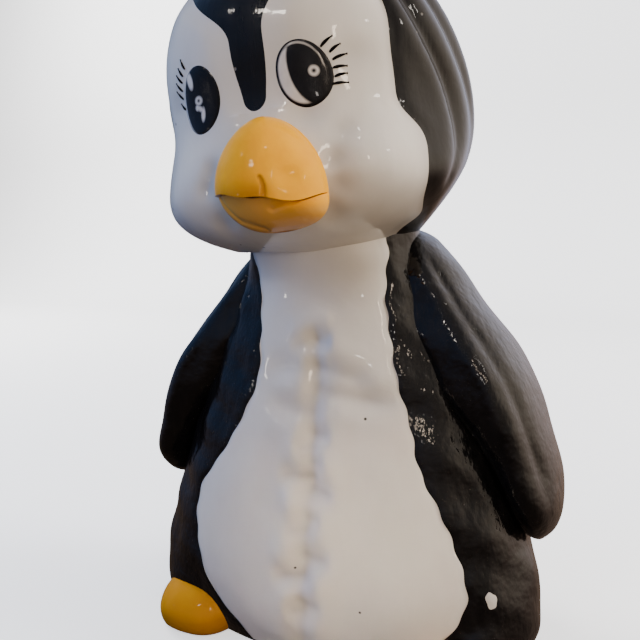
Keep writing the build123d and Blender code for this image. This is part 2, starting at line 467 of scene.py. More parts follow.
# White tin glaze: warm white glass that greys where it pools and under painted shade in creases, dents and
# grooves, with iron specks and pinholes
WHITE_GLAZE = Glaze(
    "white tin glaze on earthenware", colour="#DCD6CC", pooled_and_shaded="#8F8780", thin="#E2DDD4", speck="#3A342C",
    roughness=0.32, streak_mm=(14, 14, 30), peel_mm=5.0, peel_depth=0.10, speck_mm=7.0, speck_size=0.075)
# Black manganese glaze: blue-black glass with brush ridges, browner where it is thin
BLACK_GLAZE = Glaze(
    "black manganese glaze on earthenware", colour="#070708", pooled_and_shaded="#040405", thin="#100F10",
    speck="#6D6A66", roughness=0.30, streak_mm=(3.5, 3.5, 26), peel_mm=4.0, peel_depth=0.12, speck_mm=6.0,
    speck_size=0.085, coat=0.9, under_gloss=0.12)
# The same black brushed on thick over coat and flippers: wet, wavy ridges that break the light into glints
BRUSHED_GLAZE = Glaze(
    "black manganese glaze, brushed on thick", colour="#070708", pooled_and_shaded="#040405", thin="#121112",
    speck="#6D6A66", roughness=0.32, streak_mm=(4.0, 4.0, 13), peel_mm=5.0, peel_depth=0.5, speck_mm=6.0,
    speck_size=0.085, coat=1.0, under_gloss=0.1)
# Black ceramic ink: flat black liner strokes without gloss
LASH_INK = Glaze(
    "black ceramic ink", colour="#060505", pooled_and_shaded="#040404", thin="#0B0A0A", speck="#1A1817", roughness=0.65,
    streak_mm=(2, 2, 2), peel_mm=2.0, peel_depth=0.05, speck_mm=6.0, speck_size=0.05, coat=0.0,
    under_gloss=0.1)
# Yellow antimony glaze: egg-yolk glass that goes amber where it pools, and under painted shade on the feet
# and under the beak's tip
YELLOW_GLAZE = Glaze(
    "yellow antimony glaze on earthenware", colour="#F2A600", pooled_and_shaded="#9A6206", thin="#FAB204",
    speck="#4A2806", roughness=0.30, streak_mm=(9, 9, 9), peel_mm=4.0, peel_depth=0.18, speck_mm=5.0,
    speck_size=0.08, coat=0.35, under_gloss=0.05)
# Amber glaze of the lower beak: honey-coloured glass, paler and browner where it pools and under painted
# shade, which covers most of the lower half
AMBER_GLAZE = Glaze(
    "amber iron glaze on earthenware", colour="#F6A804", pooled_and_shaded="#E0A858", thin="#FAB010", speck="#3E2206",
    roughness=0.30, streak_mm=(6, 6, 6), peel_mm=4.0, peel_depth=0.16, speck_mm=5.0, speck_size=0.08,
    coat=0.5, under_gloss=0.05)


# How many half sizes of an eye its UV map spans
PAINT_SPAN = 4


@dataclass(frozen=True)
class Blot:
    """One oval of paint on an eye, in shares of the eye's half width and half height."""

    middle: Pair
    radii: Pair
    turn: float = 0.0


@dataclass(frozen=True)
class EyePaint:
    """Overglaze enamel on a raised eye: black glass with white brush marks fired on, and on some eyes white
    painted reflections.

    Each white mark is an oval, less the ovals that follow it in its group.
    """

    name: str
    whites: tuple[tuple[Blot, ...], ...]
    edge: float = 0.035
    grain_mm: float = 2.5
    grain_depth: float = 0.12
    black: Sequence[str] = ("#0A090A", "#161415")
    white: Sequence[str] = ("#C9C4C0", "#E6E2DC")

    def mask(self, tree: bpy.types.NodeTree, uv: bpy.types.NodeSocket, blot: Blot) -> bpy.types.NodeSocket:
        """Draws one oval with the soft edge that a brush leaves.

        Args:
            tree: The material's node tree.
            uv: Places in shares of the eye's half size.
            blot: The oval.

        Returns:
            A value of one inside the oval and nought outside.
        """
        moved = add(tree, "VectorMath", {"operation": "SUBTRACT", 1: (*blot.middle, 0)}, {0: uv})
        turned = add(tree, "VectorRotate", {"rotation_type": "Z_AXIS", "Angle": -math.radians(blot.turn)},
                     {"Vector": moved.outputs[0]})
        scaled = add(tree, "VectorMath", {"operation": "DIVIDE", 1: (*blot.radii, 1)}, {0: turned.outputs[0]})
        length = add(tree, "VectorMath", {"operation": "LENGTH"}, {0: scaled.outputs[0]})
        soft = self.edge / min(blot.radii)
        return add(tree, "MapRange", {1: 1 + soft, 2: 1 - soft, "clamp": True},
                   {0: length.outputs["Value"]}).outputs[0]

    def make(self) -> bpy.types.Material:
        """Makes the material.

        Returns:
            The new material, which reads the eye's own UV map and Object coordinates.
        """
        mat = empty_material(self.name)
        tree = mat.node_tree
        raw = add(tree, "UVMap", {"uv_map": "paint"}).outputs[0]
        span = Vector((PAINT_SPAN, PAINT_SPAN, 0))
        uv = add(tree, "VectorMath", {"operation": "MULTIPLY_ADD", 1: span, 2: -span / 2},
                 {0: raw}).outputs[0]
        marks = None
        for first, *holes in self.whites:
            inside = self.mask(tree, uv, first)
            for hole in holes:
                out = add(tree, "Math", {"operation": "SUBTRACT", 0: 1.0}, {1: self.mask(tree, uv, hole)})
                inside = add(tree, "Math", {"operation": "MULTIPLY"},
                             {0: inside, 1: out.outputs[0]}).outputs[0]
            marks = inside if marks is None else add(
                tree, "Math", {"operation": "MAXIMUM"}, {0: marks, 1: inside}).outputs[0]
        where = add(tree, "TexCoord").outputs["Object"]
        grain = add(tree, "TexNoise", {"Scale": 1 / (self.grain_mm * MM), "Detail": 2.0}, {"Vector": where})
        dark, light = (
            add(tree, "Mix", {"data_type": "RGBA", 6: linear(a), 7: linear(b)}, {0: grain.outputs["Fac"]})
            for a, b in (self.black, self.white))
        colour = add(tree, "Mix", {"data_type": "RGBA"}, {0: marks, 6: dark.outputs[2], 7: light.outputs[2]})
        bump = add(tree, "Bump", {"Strength": 1.0, "Distance": self.grain_depth * MM},
                   {"Height": grain.outputs["Fac"]})
        shader = add(tree, "BsdfPrincipled", {
            "Roughness": 0.25, "IOR": 1.5, "Coat Weight": 0.5, "Coat Roughness": 0.03,
            "Specular IOR Level": 0.2,
        }, {"Base Color": colour.outputs[2], "Normal": bump.outputs[0]})
        add(tree, "OutputMaterial", {}, {0: shader.outputs[0]})
        return mat


def dress(obj: bpy.types.Object, material: bpy.types.Material, slot: Slot, *nodes: str) -> None:
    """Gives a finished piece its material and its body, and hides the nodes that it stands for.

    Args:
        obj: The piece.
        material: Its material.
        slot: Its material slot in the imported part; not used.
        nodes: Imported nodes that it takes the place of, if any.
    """
    obj.data.materials.clear()
    obj.data.materials.append(material)
    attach(obj, "root")
    if nodes:
        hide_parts(*nodes)
    LOG.info("%s: %d faces", obj.name, len(obj.data.polygons))


def mark_pool_and_shade(obj: bpy.types.Object, values: Array | float) -> None:
    """Stores how far each point turns to its glaze's pooled colour, for glaze that pools and for painted
    shade in creases, dents and under things.

    Args:
        obj: The piece.
        values: One value for each point from nought to one, or one for all.
    """
    layer = obj.data.attributes.new("pool_and_shade", "FLOAT", "POINT")
    each = np.broadcast_to(np.clip(values, 0, 1), len(obj.data.vertices))
    layer.data.foreach_set("value", each.astype(np.float32))


# the body casting

@dataclass
class Ring:
    """Cross-sections of a casting by height: half width, front depth, back depth and forward shift.

    Where a casting closes in a dome, its columns are fitted by the root of the depth under the top.
    """

    rows: Sequence[Sequence[float]]
    dome: float | None = None

    @classmethod
    def scaled(cls, sizes: Sequence[float], shares: Sequence[Sequence[float]],
               dome: float | None = None) -> "Ring":
        """Makes the cross-sections from shares of the casting's own sizes.

        Args:
            sizes: Height, half width, front depth, back depth and forward shift.
            shares: Rows of shares of these, from the foot up.
            dome: Height of the top where the casting closes, if it does.

        Returns:
            The cross-sections.
        """
        return cls([[share * size for share, size in zip(row, sizes)] for row in shares], dome)

    def __post_init__(self) -> None:
        """Fits a spline to each column."""
        self.width, self.front, self.back, self.forward = (self.column(i) for i in (1, 2, 3, 4))

    def place(self, h: Array) -> Array:
        """Where a height lies along the splines."""
        h = np.asarray(h, float)
        return h if self.dome is None else -np.sqrt(np.maximum(self.dome - h, 0))

    def column(self, index: int) -> Curve:
        """One column of the table as a function of height."""
        fit = spline(self.place([r[0] for r in self.rows]), [r[index] for r in self.rows])
        return lambda h: fit(self.place(h))

    def point(self, turn: Array, height: Array) -> Array:
        """Finds points of the plain surface.

        Args:
            turn: Turn round the axis, counted from the front towards +X.
            height: Height over the casting's foot.

        Returns:
            The points.
        """
        depth = np.where(np.cos(turn) > 0, self.front(height), self.back(height))
        y = -self.forward(height) - depth * np.cos(turn)
        return np.stack([self.width(height) * np.sin(turn), y, height], -1)

    def normal(self, turn: Array, height: Array) -> Array:
        """Finds outward normals of the plain surface.

        Args:
            turn: Turn round the axis.
            height: Height over the casting's foot.

        Returns:
            The normals.
        """
        e = 0.01
        across = self.point(turn + e, height) - self.point(turn - e, height)
        up = self.point(turn, height + 5 * e) - self.point(turn, height - 5 * e)
        n = np.cross(across, up)
        return n / np.maximum(np.linalg.norm(n, axis=-1, keepdims=True), 1e-9)

    def turn_at(self, x: Array, height: Array) -> Array:
        """The turn of a place on the front half, from its X."""
        return np.arcsin(np.clip(x / self.width(height), -0.985, 0.985))

    def turn_of(self, points: Array) -> Array:
        """Finds the turn of points near the surface.

        Args:
            points: The points.

        Returns:
            Their turns.
        """
        z = points[:, 2]
        y = points[:, 1] + self.forward(z)
        depth = np.where(y < 0, self.front(z), self.back(z))
        return np.arctan2(points[:, 0] / self.width(z), -y / depth)


# Edges of a casting's shell that are sharper than this stay sharp, in degrees
SHELL_ANGLE = 50


@dataclass
class Body:
    """The body casting: black coat, white bib, floor and vent."""

    height: float = 126.0
    wall: float = 3.4
    hem: float = 1.5
    vent: float = 7.0
    # The casting runs on inside the head
    tenon: float = 6.0
    ring: Ring = field(default_factory=lambda: Ring.scaled((126, 65, 31, 45, 8), (
        (0.00, 0.915, 0.874, 0.911, 1.00), (0.10, 1.000, 1.000, 0.978, 1.00),
        (0.30, 0.950, 0.987, 1.000, 1.00), (0.555, 0.775, 0.839, 0.882, 0.90),
        (0.79, 0.577, 0.694, 0.689, 0.75), (0.95, 0.457, 0.606, 0.582, 0.65),
        (1.00, 0.436, 0.594, 0.556, 0.62))))
    # Edge of the bib by height, on the figure's left and right, and how far the brush wavers
    left_edge: Sequence[Pair] = (
        (1.5, 25.0), (6, 33.0), (13.5, 42.0), (20, 47.2), (30, 48.6), (42, 45.5), (51, 41), (61, 36.4),
        (77, 31.4), (88, 28.2), (99, 25.2), (110, 23.6), (122, 22.4), (126, 22.4))
    right_edge: Sequence[Pair] = (
        (1.5, 18.7), (9, 27.0), (20, 35.0), (30, 40.2), (42, 41.6), (51, 38.4), (61, 31.2), (70, 24.5),
        (77, 20.2), (88, 16.6), (99, 16.2), (110, 17.4), (122, 18.8), (126, 19.0))
    waver: float = 0.3
    bib_puff: float = 0.4
    bib_wave: float = 0.2
    edge_groove: float = 0.3
    # X of the seam down the belly by height, its depth and half width
    seam_line: Sequence[Pair] = (
        (2, 0.8), (16, 1.4), (30.6, 2.4), (44.2, 3.4), (60.2, 4.2), (82, 4.4), (99.4, 3.8), (126, 3.4))
    seam_depth: float = 1.0
    seam_width: float = 3.0
    # Pillows on both sides of the seam: rise, distance from it, half width
    pillow: Triple = (0.5, 7.5, 5.0)
    # Creases that pull towards the seam: start, end, depth, half width
    creases: Sequence[tuple[Pair, Pair, float, float]] = (
        ((4.2, 91.6), (-15, 90.2), 0.6, 2.6), ((3.8, 78.4), (-13.5, 81.5), 0.9, 2.4),
        ((4, 59.6), (-7.5, 59.2), 1.8, 2.3), ((3, 44), (-4.5, 43), 0.9, 2.1), ((2, 30), (-9, 28.2), 1.8, 2.4),
        ((1.4, 18.8), (-4, 17.6), 1.1, 2.1), ((4.2, 68.4), (-2, 67.6), 0.8, 1.9),
        ((3.6, 99.4), (-5, 96.6), 0.8, 2.0), ((4, 99.2), (10, 99.2), 0.9, 1.9),
        ((5, 92), (23.5, 87.2), 0.9, 2.0), ((6, 85.2), (32, 80.2), 1.0, 2.1),
        ((4.6, 72.2), (11, 71.8), 1.1, 1.9), ((4.6, 64.2), (9.4, 64.2), 0.9, 1.7),
        ((4.2, 55.6), (13, 55), 1.8, 2.1), ((3.8, 48), (9, 48.4), 0.8, 1.8),
        ((3, 36.6), (12.4, 36), 1.8, 2.3), ((1.8, 21.6), (10, 21.8), 1.0, 2.1))
    crease_cut: float = 1.2
    crease_lip: float = 0.4
    neck_swell: float = 3.5
    # The cuff over each foot: how far it flares, its place, its radius and half height
    cuff_flare: float = 5.0
    cuff_place: Triple = (50, -18, 10)
    cuff_size: Pair = (14, 10)
    lump: float = 0.4

    def edges(self) -> tuple[Curve, Curve]:
        """Fits the bib's edges, with the waver of a hand-held brush.

        Returns:
            Half widths on the figure's left and right as functions of height.
        """
        left, right = curve(self.left_edge), curve(self.right_edge)
        return (lambda z: left(z) + self.waver * (np.sin(z / 3.7) + np.sin(z / 1.4 + 1)),
                lambda z: right(z) + self.waver * (np.sin(z / 4.1 + 2) + np.sin(z / 1.5)))

    def relief(self, turn: Array, z: Array, x: Array) -> tuple[Array, Array]:
        """Models the surface over the plain one.

        Args:
            turn: Turn round the axis.
            z: Height.
            x: X on the plain surface.

        Returns:
            Height over the plain surface, and how much pooled glaze and painted shade it takes there.
        """
        left, right = self.edges()
        front = step(np.cos(turn), 0.0, 0.25)
        to_edge = np.minimum(left(z) - x, x + right(z))
        bib = step(to_edge, -0.2, 0.4) * front
        groove = bell(to_edge, 1.0) * front * step(z, 0, 6)
        relief = bib * step(to_edge, 0, 15) * (self.bib_puff + self.bib_wave * np.sin(z / 5.2 + x / 11))
        relief -= self.edge_groove * groove
        # The seam between its pillows fades out at the hem and under the neck
        off = x - curve(self.seam_line)(z)
        seam = self.seam_depth * step(z, 2, 10) * step(-z, -112, -84) * front
        rise, aside, wide = self.pillow
        relief += (rise * bell(np.abs(off) - aside, wide) - bell(off, self.seam_width)) * seam
        # Painted shade down the seam
        pool_and_shade = bell(off, 2.0) * seam
        for start, end, depth, wide in self.creases:
            d, t = to_line(x, z, start, end)
            shape = (1 - step(t, 0.5, 1.0)) * depth * front
            relief -= self.crease_cut * bell(d, wide * 1.4) * shape
            relief += self.crease_lip * bell(d - wide * 3.0, wide * 1.6) * shape
            # Painted shade down the middle of each crease
            pool_and_shade += 1.2 * bell(d, wide * 0.7) * shape
        # The neck swells forward to the chin
        relief += self.neck_swell * step(z, 108, 127) ** 2 * step(np.cos(turn), 0.35, 0.9)
        # The hem flares over the feet like a cuff
        y = self.ring.point(turn, z)[..., 1]
        away = np.hypot(np.abs(x) - self.cuff_place[0], y - self.cuff_place[1])
        cuff = bell(away, self.cuff_size[0]) * bell(z - self.cuff_place[2], self.cuff_size[1])
        relief += self.cuff_flare * cuff * step(-to_edge, 0, 10)
        # The coat is lumpier than the bib: pressed by hand and brushed over
        lumps = np.sin(x / 4.1 + z / 6.3) * np.sin(z / 4.7 - turn * 7) + 0.5 * np.sin(z / 2.9 + turn * 11)
        relief += self.lump * lumps * (1 - bib) * step(z, 4, 14) * step(-z, -124, -112)
        # The second value is painted shade: darker down the seam and creases and along the groove at the
        # bib's edge
        return relief, 0.15 * pool_and_shade + 0.25 * groove

    def skin(self, turn: Array, z: Array) -> Array:
        """Finds points of the finished outer surface.

        Args:
            turn: Turn round the axis.
            z: Height.

        Returns:
            The points.
        """
        base = self.ring.point(turn, z)
        relief, _ = self.relief(turn, z, base[..., 0])
        return base + self.ring.normal(turn, z) * relief[..., None]

    def floor(self, turn: Array, v: Array) -> Array:
        """Finds points from the hem, round its edge and across the floor to the vent's rim.

        Args:
            turn: Turn round the axis.
            v: Share of the way from hem to vent.

        Returns:
            The points.
        """
        hem = self.skin(turn, np.full_like(turn, self.hem))
        edge = self.ring.point(turn, np.zeros_like(turn))
        rim = np.stack([self.vent * np.sin(turn), -self.vent * np.cos(turn), 0 * turn], -1)
        rolled = 0.12
        roll = np.clip(v / rolled, 0, 1)[..., None]
        inner = edge + (rim - edge) * 0.03
        start = hem + (inner - hem) * np.concatenate([roll ** 1.6, roll ** 1.6, roll ** 0.6], -1)
        across = np.clip((v - rolled) / (1 - rolled), 0, 1)[..., None]
        return np.where(v[..., None] < rolled, start, inner + (rim - inner) * across)

    def build(self, white: bpy.types.Material, black: bpy.types.Material) -> None:
        """Builds the belly and the coat.

        Args:
            white: The bib's glaze.
            black: The coat's glaze.
        """
        left, right = self.edges()

        def turn(u: Array, z: Array, behind: bool) -> Array:
            """Turn at a share of the way across the bib at a height, or across the coat behind it."""
            a, b = self.ring.turn_at(left(z), z), self.ring.turn_at(-right(z), z)
            return a + (b + FULL_TURN - a) * u if behind else b + (a - b) * u

        def level(v: Array) -> Array:
            """Height of a row of the wall."""
            return self.hem + (self.height + self.tenon - self.hem) * v

        def wall(behind: bool) -> Surface:
            """The bib, or the coat from the bib's left edge round the back to its right edge."""
            return lambda u, v: self.skin(turn(u, level(v), behind), level(v))

        def ground(behind: bool) -> Surface:
            """The floor under the bib, or under the coat."""
            return lambda u, v: self.floor(turn(u, np.full_like(v, self.hem), behind), v)

        belly = join("belly_bib", [patch("bib", 130, 170, wall(False))])
        coat = join("coat_shell", [
            patch("wall", 230, 150, wall(True)), patch("floor_a", 60, 22, ground(False)),
            patch("floor_b", 230, 22, ground(True))])
        for obj, mat, slot, node, depth in (
                (belly, white, Slot.WHITE, "belly", 10), (coat, black, Slot.BLACK, "coat", 0)):
            lies_outward(obj, (0, depth, 60))
            thicken(obj, self.wall)
            co = points_of(obj)
            mark_pool_and_shade(obj, self.relief(self.ring.turn_of(co), co[:, 2], co[:, 0])[1])
            smooth(obj, SHELL_ANGLE)
            dress(obj, mat, slot, node)


@dataclass
class PaleSpot:
    """A small ragged pale spot on the coat, in the white glaze."""

    body: Body
    place: Triple = (51.8, -24.2, 26.6)
    half: Pair = (1.7, 2.3)
    wall: float = 0.4
    greyed: float = 0.3

    def build(self, clay: bpy.types.Material) -> None:
        """Builds the pale spot.

        Args:
            clay: Its material.
        """
        turn = float(self.body.ring.turn_of(np.array([self.place]))[0])
        reach = float(self.body.ring.width(self.place[2]))

        def surface(u: Array, v: Array) -> Array:
            """Finds points of the patch.

            Args:
                u: Share of the turn round it.
                v: Share of the way from its ragged rim to its middle.

            Returns:
                The points.
            """
            a = u * FULL_TURN
            r = (1 - v) * (1 + 0.07 * np.sin(3 * a + 1) + 0.06 * np.sin(5 * a))
            z = self.place[2] + self.half[1] * r * np.sin(a)
            t = turn + self.half[0] * r * np.cos(a) / reach * 1.4
            return self.body.skin(t, z) + self.body.ring.normal(t, z) * (0.1 + 0.1 * v)[..., None]

        obj = join("coat_pale_spot", [patch("pale_spot", 48, 6, surface)], 0.002)
        lies_outward(obj, (0, 0, 60))
        thicken(obj, self.wall)
        mark_pool_and_shade(obj, self.greyed)
        smooth(obj)
        dress(obj, clay, Slot.WHITE)


# the head casting

@dataclass
class Head:
    """The head casting: black hood with its blaze, and white face, in a frame of its own on the neck."""

    foot: float = 121.0
    neck: float = 125.6
    tilt: float = 5.5
    wall: float = 3.2
    low: float = 0.5
    peak: float = 78.9
    top: float = 96.0
    middle: Triple = (0, 0, 170)
    ring: Ring = field(default_factory=lambda: Ring.scaled((96, 47.5, 47, 42, 16), (
        (0.000, 0.526, 0.464, 0.524, 0.13), (0.042, 0.547, 0.474, 0.571, 0.19),
        (0.083, 0.659, 0.604, 0.690, 0.50), (0.167, 0.882, 0.681, 0.905, 1.00),
        (0.292, 0.989, 0.926, 1.000, 0.50), (0.417, 1.000, 1.000, 0.976, 0.06),
        (0.573, 0.979, 0.968, 0.952, 0.16), (0.740, 0.874, 0.872, 0.857, 0.38),
        (0.885, 0.653, 0.638, 0.619, 0.47), (0.969, 0.368, 0.345, 0.405, 0.41),
        (0.993, 0.168, 0.162, 0.190, 0.41), (1.000, 0.004, 0.004, 0.004, 0.41)), 96.0))
    # Edge of the face by height over the head's foot, and how much farther back it lies on the right
    face_edge: Sequence[Pair] = (
        (0, 23.0), (3, 23.5), (5.6, 25.5), (10.2, 34.0), (13.9, 38.0), (18.7, 41.0), (26.0, 42.0),
        (33.9, 40.1), (39.4, 36.7), (44.9, 35.9), (55.0, 35.9), (64.2, 35.3), (71.6, 32.4), (76.3, 27.0),
        (78.9, 18.0))
    right_more: float = 3.0
    face_rise: float = 0.6
    edge_groove: float = 0.5
    # Half width of the blaze down the forehead by height, its shift to the left, its round lower end
    # and how its rows of faces crowd towards that end
    blaze: Sequence[Pair] = (
        (42.2, 2.9), (46.4, 3.5), (52.5, 4.5), (58.5, 4.9), (62.5, 5.2), (66.0, 7.0), (70.0, 10.5),
        (78.9, 18.0))
    blaze_x: float = 2.6
    blaze_round: float = 3.0
    blaze_crowd: float = 1.7
    # Soft dents in the face: X, height, depth, radius
    dents: Sequence[tuple[float, float, float, float]] = (
        (22.8, 27, 1.3, 3.6), (23.2, 20.1, 1.1, 3.2), (19.2, 14.5, 1.0, 3.6), (-11.5, 29, 1.2, 3.2),
        (-14.4, 24.5, 1.0, 3.0), (-12.5, 14.5, 0.8, 3.4), (24.7, 33.5, 0.8, 3.5), (16.5, 38.8, 0.7, 4.0),
        (28, 53, 0.5, 4.0), (-27, 50, 0.5, 4.0), (32, 26, -1.0, 7.0), (-27, 22, -1.0, 7.0))
    # Pleats in the hood behind the face on both sides: path of turn in degrees and height, depth, width
    pleats: Sequence[tuple[Sequence[Pair], float, float]] = (
        (((57, 80), (61, 71), (67, 55), (74, 40), (81, 28), (84, 20)), 0.8, 3.0),
        (((74, 82), (79, 71), (85, 55), (92, 40), (98, 28)), 0.7, 3.4),
        (((92, 80), (97, 71), (103, 55), (108, 40)), 0.5, 4.0))
    mm_per_degree: float = 0.72
    wave: float = 0.35

    def place(self, points: Array) -> Array:
        """Moves points from the head's own frame onto the neck.

        Args:
            points: Points in the head's frame.

        Returns:
            Points in the figure's frame.
        """
        t = math.radians(self.tilt)
        x = points[..., 0] * math.cos(t) - points[..., 2] * math.sin(t)
        z = points[..., 0] * math.sin(t) + points[..., 2] * math.cos(t)
        return np.stack([x, points[..., 1], z + self.foot], -1)

    def unplace(self, points: Array) -> Array:
        """Moves points on the neck back into the head's own frame.

        Args:
            points: Points in the figure's frame.

        Returns:
            Points in the head's frame.
        """
        t = math.radians(self.tilt)
        z = points[..., 2] - self.foot
        return np.stack([points[..., 0] * math.cos(t) + z * math.sin(t), points[..., 1],
                         -points[..., 0] * math.sin(t) + z * math.cos(t)], -1)

    def edge(self, h: Array, side: Array | int) -> Array:
        """Half width of the face at a height, on the side of a sign."""
        return curve(self.face_edge)(h) + self.right_more * step(h, 8, 20) * (np.asarray(side) < 0)

    def half_blaze(self, h: Array) -> Array:
        """Half width of the blaze at a height, with its round lower end."""
        return curve(self.blaze)(h) * rounded((h - self.blaze[0][0]) / self.blaze_round)

    def sway(self, h: Array) -> Array:
        """X of the blaze's middle at a height."""
        return self.blaze_x * step(-h, -74, -60)

    def relief(self, turn: Array, h: Array, x: Array) -> tuple[Array, Array]:
        """Models the surface over the plain one.

        Args:
            turn: Turn round the axis.
            h: Height over the head's foot.
            x: X on the plain surface.

        Returns:
            Height over the plain surface, and how much pooled glaze and painted shade it takes there.
        """
        front = step(np.cos(turn), 0.0, 0.2)
        to_edge = np.where(h < self.peak, self.edge(h, x) - np.abs(x), -(h - self.peak) - 2)
        low = self.blaze[0][0]
        aside = np.abs(x - self.sway(h))
        to_blaze = np.where(h > low, aside - self.half_blaze(h), np.hypot(aside, low - h))
        inside = np.minimum(to_edge, to_blaze)
        face = step(inside, -0.1, 0.4) * front
        groove = bell(to_edge, 1.6) * front * step(-h, -78, -74)
        relief = face * step(inside, 0, 8) * self.face_rise - self.edge_groove * groove
        # Painted shade along the groove at the face's edge
        pool_and_shade = 0.3 * groove
        for dx, dz, depth, radius in self.dents:
            pit = bell(np.hypot(x - dx, h - dz), radius) * front * depth
            relief -= pit
            # Painted shade in each dent
            pool_and_shade += 0.3 * np.maximum(pit, 0)
        side = self.mm_per_degree * np.degrees(np.abs(np.arctan2(np.sin(turn), np.cos(turn))))
        for path, depth, wide in self.pleats:
            d, t = to_path(side, h, [(a * self.mm_per_degree, b) for a, b in path])
            shape = depth * (1 - 0.7 * step(t, 0.6, 1.0)) * (1 - face)
            relief += (0.8 * bell(d - wide * 1.5, wide) - bell(d, wide * 0.6)) * shape
            # Painted shade down the middle of each pleat
            pool_and_shade += 0.5 * bell(d, wide * 0.5) * shape
        # Loose waves over the back of the hood
        waves = np.sin(turn * 7 + h / 13) * np.sin(h / 9 + turn * 2)
        relief += self.wave * waves * (1 - face) * step(-np.cos(turn), -0.2, 0.3) * step(-h, -94, -80)
        return relief, pool_and_shade

    def skin(self, turn: Array, h: Array) -> Array:
        """Finds points of the finished outer surface, in the head's own frame.

        Args:
            turn: Turn round the axis.
            h: Height over the head's foot.

        Returns:
            The points.
        """
        base = self.ring.point(turn, h)
        relief, _ = self.relief(turn, h, base[..., 0])
        return base + self.ring.normal(turn, h) * (relief * step(-h, -95.5, -93))[..., None]

    def on_face(self, x: Array, h: Array, proud: Array | float = 0.0) -> Array:
        """Finds points on the finished face, lifted off it.

        Args:
            x: X in the head's own frame.
            h: Height over the head's foot.
            proud: How far they are lifted.

        Returns:
            Points in the figure's frame.
        """
        turn = self.ring.turn_at(x, h)
        lift = np.asarray(proud) * np.ones_like(turn)
        return self.place(self.skin(turn, h) + self.ring.normal(turn, h) * lift[..., None])

    def build(self, white: bpy.types.Material, black: bpy.types.Material) -> None:
        """Builds the face and the hood.

        Args:
            white: The face's glaze.
            black: The hood's glaze.
        """
        start = self.blaze[0][0]

        def outer(side: int, more: float = 0.0) -> Curve:
            """Turn of the face's outer edge on one side by height, held over the brow, and some more."""
            def turn(h: Array) -> Array:
                """Turn at a height."""
                low = np.minimum(h, self.peak)
                return self.ring.turn_at(side * self.edge(low, side), low) + more
            return turn

        def inner(side: int) -> Curve:
            """Turn of the blaze's edge on one side by height."""
            return lambda h: self.ring.turn_at(side * self.half_blaze(h) + self.sway(h), h)

        def rise(bottom: float, top: float, crowd: float = 1.0) -> Curve:
            """Heights of rows between two heights, crowded towards the lower one by a power."""
            return lambda v: bottom + (top - bottom) * v ** crowd

        def crown(v: Array) -> Array:
            """Heights of rows over the brow, which crowd towards the top."""
            return self.peak + (self.top - self.peak) * np.sin(v * QUARTER)

        def between(first: Curve, last: Curve, level: Curve) -> Surface:
            """Lays a strip of the casting between two edges.

            Args:
                first: Turn of the edge where the strip starts, by height.
                last: Turn of the edge where it ends, by height.
                level: Height of a row, by its share of the way up.

            Returns:
                The strip's surface.
            """
            def surface(u: Array, v: Array) -> Array:
                """Points of the strip."""
                h = level(v)
                return self.place(self.skin(first(h) + (last(h) - first(h)) * u, h))
            return surface

        cheek, back = rise(self.low, start), rise(self.low, self.peak)
        brow = rise(start, self.peak, self.blaze_crowd)
        face = join("face_mask", [
            patch("cheek_a", 60, 66, between(inner(1), outer(1), cheek)),
            patch("cheek_b", 60, 66, between(inner(-1), outer(-1), cheek)),
            patch("brow_a", 60, 70, between(inner(1), outer(1), brow)),
            patch("brow_b", 60, 70, between(inner(-1), outer(-1), brow))])
        hood = join("hood_shell", [
            patch("back", 190, 110, between(outer(1), outer(-1, FULL_TURN), back)),
            patch("stripe", 24, 70, between(inner(-1), inner(1), brow)),
            patch("crown_a", 190, 34, between(outer(1), outer(-1, FULL_TURN), crown)),
            patch("crown_b", 24, 34, between(outer(-1), outer(1), crown))])
        for obj, mat, slot, node in ((face, white, Slot.WHITE, "face"), (hood, black, Slot.BLACK, "hood")):
            lies_outward(obj, self.middle)
            cut_below(obj, self.neck)
            thicken(obj, self.wall)
            co = self.unplace(points_of(obj))
            mark_pool_and_shade(obj, self.relief(self.ring.turn_of(co), co[:, 2], co[:, 0])[1])
            smooth(obj, SHELL_ANGLE)
            dress(obj, mat, slot, node)


# beak, eyes and lashes

